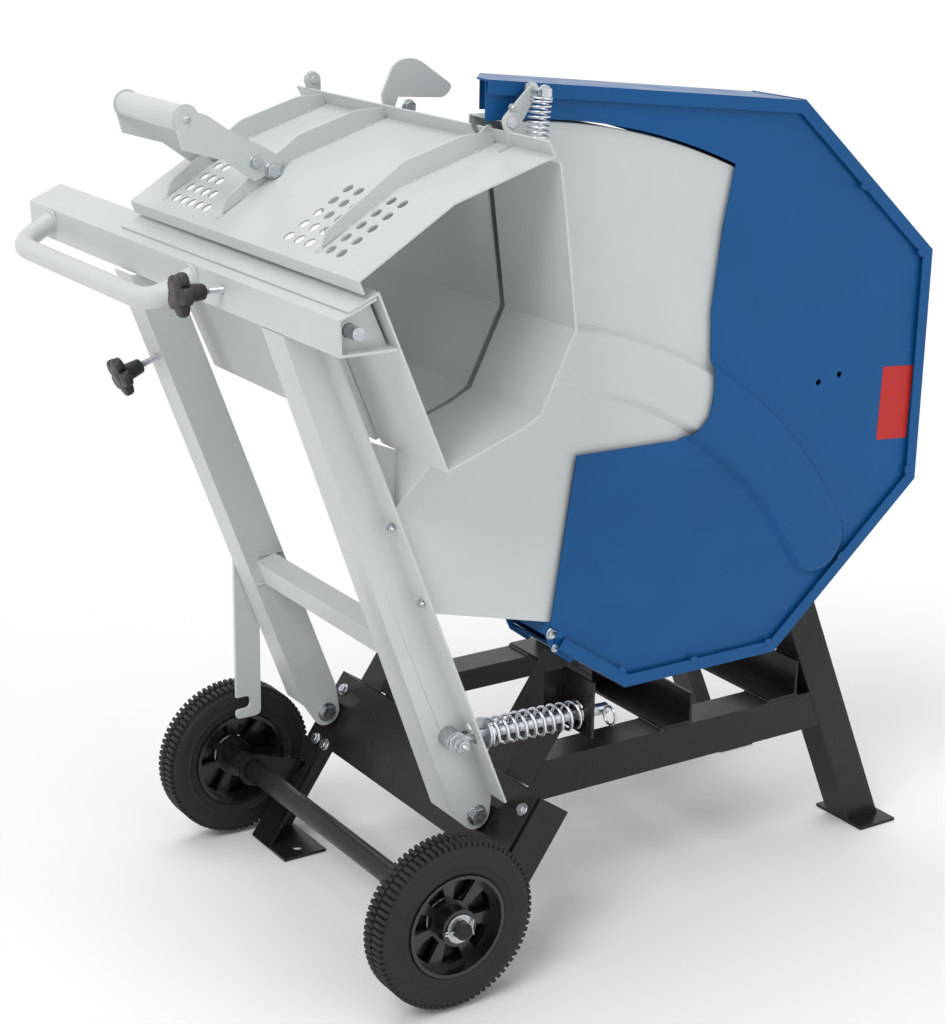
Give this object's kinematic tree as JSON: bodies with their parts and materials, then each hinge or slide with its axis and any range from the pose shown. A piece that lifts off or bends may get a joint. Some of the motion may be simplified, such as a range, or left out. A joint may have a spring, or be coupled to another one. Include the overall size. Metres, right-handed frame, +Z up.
{
  "type": "firewood circular saw",
  "caption": "Firewood circular saw: fixed blade in a sheet housing, and a V-shaped log trough with lid that rocks towards it on a wheeled angle-iron frame.",
  "frame": {"origin": "centre of the bounding box in X and Y, on the floor under the foot plates", "axes": "+X along the wheel axle to the blade side, +Y from the operator to the back, +Z up"},
  "size_m": [0.794, 0.9732, 1.0131],
  "materials": {
    "grey_paint": "satin light grey powder coat",
    "blue_paint": "satin blue powder coat",
    "black_paint": "glossy black paint",
    "zinc": "bright zinc plating",
    "chrome": "bright",
    "blade_steel": "ground steel",
    "tyre": "matt solid rubber",
    "rim_plastic": "glossy black",
    "knob_plastic": "matt black",
    "motor_paint": "satin dark grey",
    "box_plastic": "matt black",
    "start_green": "satin green",
    "stop_red": "satin red"
  },
  "bodies": {
    "frame": {"front_leg_near": "black_paint", "front_leg_far": "black_paint", "front_panel": "black_paint", "pivot_bolt_near": "zinc", "pivot_bolt_far": "zinc", "strut_near": "black_paint", "strut_far": "black_paint", "rear_leg_near": "black_paint", "rear_leg_far": "black_paint", "side_beam_near": "black_paint", "side_beam_far": "black_paint", "rear_cross_beam": "black_paint", "motor_bridge": "black_paint", "motor_post": "black_paint", "motor_body": "motor_paint", "fan_cover": "motor_paint", "switch_box": "box_plastic", "axle": "black_paint", "axle_clamp_near": "black_paint", "axle_clamp_far": "black_paint", "wheel_washer_near": "zinc", "wheel_washer_far": "zinc", "housing_rim": "blue_paint", "housing_near_plate": "blue_paint", "housing_far_plate": "blue_paint", "housing_bracket": "blue_paint", "spring_bracket": "black_paint"},
    "start_button": {"start_button": "start_green"},
    "stop_button": {"stop_button": "stop_red"},
    "wheel_near": {"tyre_near": "tyre", "rim_near": "rim_plastic"},
    "wheel_far": {"tyre_far": "tyre", "rim_far": "rim_plastic"},
    "arbor": {"saw_blade": "blade_steel", "inner_flange": "zinc", "outer_flange": "zinc", "arbor_nut": "zinc", "arbor_shaft": "blade_steel", "motor_fan": "box_plastic"},
    "rocker": {"rocker_beam": "grey_paint", "trough": "grey_paint", "rocker_leg_far": "grey_paint", "rocker_leg_near": "grey_paint", "leg_brace": "grey_paint", "push_handle": "grey_paint", "guard_near_plate": "grey_paint", "guard_far_plate": "grey_paint", "guard_arc_cover": "grey_paint", "lid_spring": "chrome"},
    "stop_rod": {"stop_rod": "zinc"},
    "stop_knob": {"stop_knob": "knob_plastic"},
    "leg_knob": {"leg_knob": "knob_plastic"},
    "transport_hook": {"transport_hook": "grey_paint"},
    "spring_rod": {"spring_rod": "zinc", "ring_pin": "zinc", "return_spring": "chrome"},
    "lid": {"lid": "grey_paint"},
    "lift_handle": {"lift_handle": "grey_paint"}
  },
  "joints": [
    {"name": "rocker_swing", "type": "hinge", "parent": "frame", "child": "rocker", "pos_m": [0.103, -0.18036, 0.172], "axis": [-1, 0, 0], "range_deg": [0, 23], "stiffness_Nm_per_rad": 17, "springref_deg": -14.32, "deforming": ["return_spring"]},
    {"name": "spring_rod_tilt", "type": "hinge", "parent": "rocker", "child": "spring_rod", "pos_m": [0.283, -0.22115, 0.27952], "axis": [-1, 0, 0], "range_deg": [-19.5, 0]},
    {"name": "lid_hinge", "type": "hinge", "parent": "rocker", "child": "lid", "pos_m": [0.103, -0.17711, 0.9702], "axis": [1, 0, 0], "range_deg": [-52, 0], "deforming": ["lid_spring"]},
    {"name": "lift_handle_tilt", "type": "hinge", "parent": "lid", "child": "lift_handle", "pos_m": [0.103, -0.32596, 0.8974], "axis": [-1, 0, 0], "range_deg": [0, 12]},
    {"name": "wheel_near_spin", "type": "hinge", "parent": "frame", "child": "wheel_near", "pos_m": [0.364, -0.27536, 0.105], "axis": [1, 0, 0], "continuous": true},
    {"name": "wheel_far_spin", "type": "hinge", "parent": "frame", "child": "wheel_far", "pos_m": [-0.158, -0.27536, 0.105], "axis": [1, 0, 0], "continuous": true},
    {"name": "arbor_spin", "type": "hinge", "parent": "frame", "child": "arbor", "pos_m": [0.25, 0.12464, 0.634], "axis": [-1, 0, 0], "continuous": true},
    {"name": "stop_rod_slide", "type": "slide", "parent": "rocker", "child": "stop_rod", "axis": [1, 0, 0], "range_m": [0, 0.15]},
    {"name": "stop_knob_turn", "type": "hinge", "parent": "rocker", "child": "stop_knob", "pos_m": [0.138, -0.46461, 0.7882], "axis": [0, -1, 0], "range_deg": [0, 360]},
    {"name": "leg_knob_turn", "type": "hinge", "parent": "rocker", "child": "leg_knob", "pos_m": [-0.104, -0.4261, 0.64777], "axis": [0, -0.935, -0.3547], "range_deg": [0, 360]},
    {"name": "transport_hook_swing", "type": "hinge", "parent": "rocker", "child": "transport_hook", "pos_m": [-0.133, -0.26691, 0.40013], "axis": [-1, 0, 0], "range_deg": [-20, 40]},
    {"name": "start_button_press", "type": "slide", "parent": "frame", "child": "start_button", "axis": [1, 0, 0], "range_m": [0, 0.003], "stiffness_N_per_m": 500, "springref_m": -0.001},
    {"name": "stop_button_press", "type": "slide", "parent": "frame", "child": "stop_button", "axis": [1, 0, 0], "range_m": [0, 0.003], "stiffness_N_per_m": 500, "springref_m": -0.001}
  ],
  "couplings": [
    {"joint": "spring_rod_tilt", "follows": "rocker_swing", "ratio": -0.826}
  ]
}
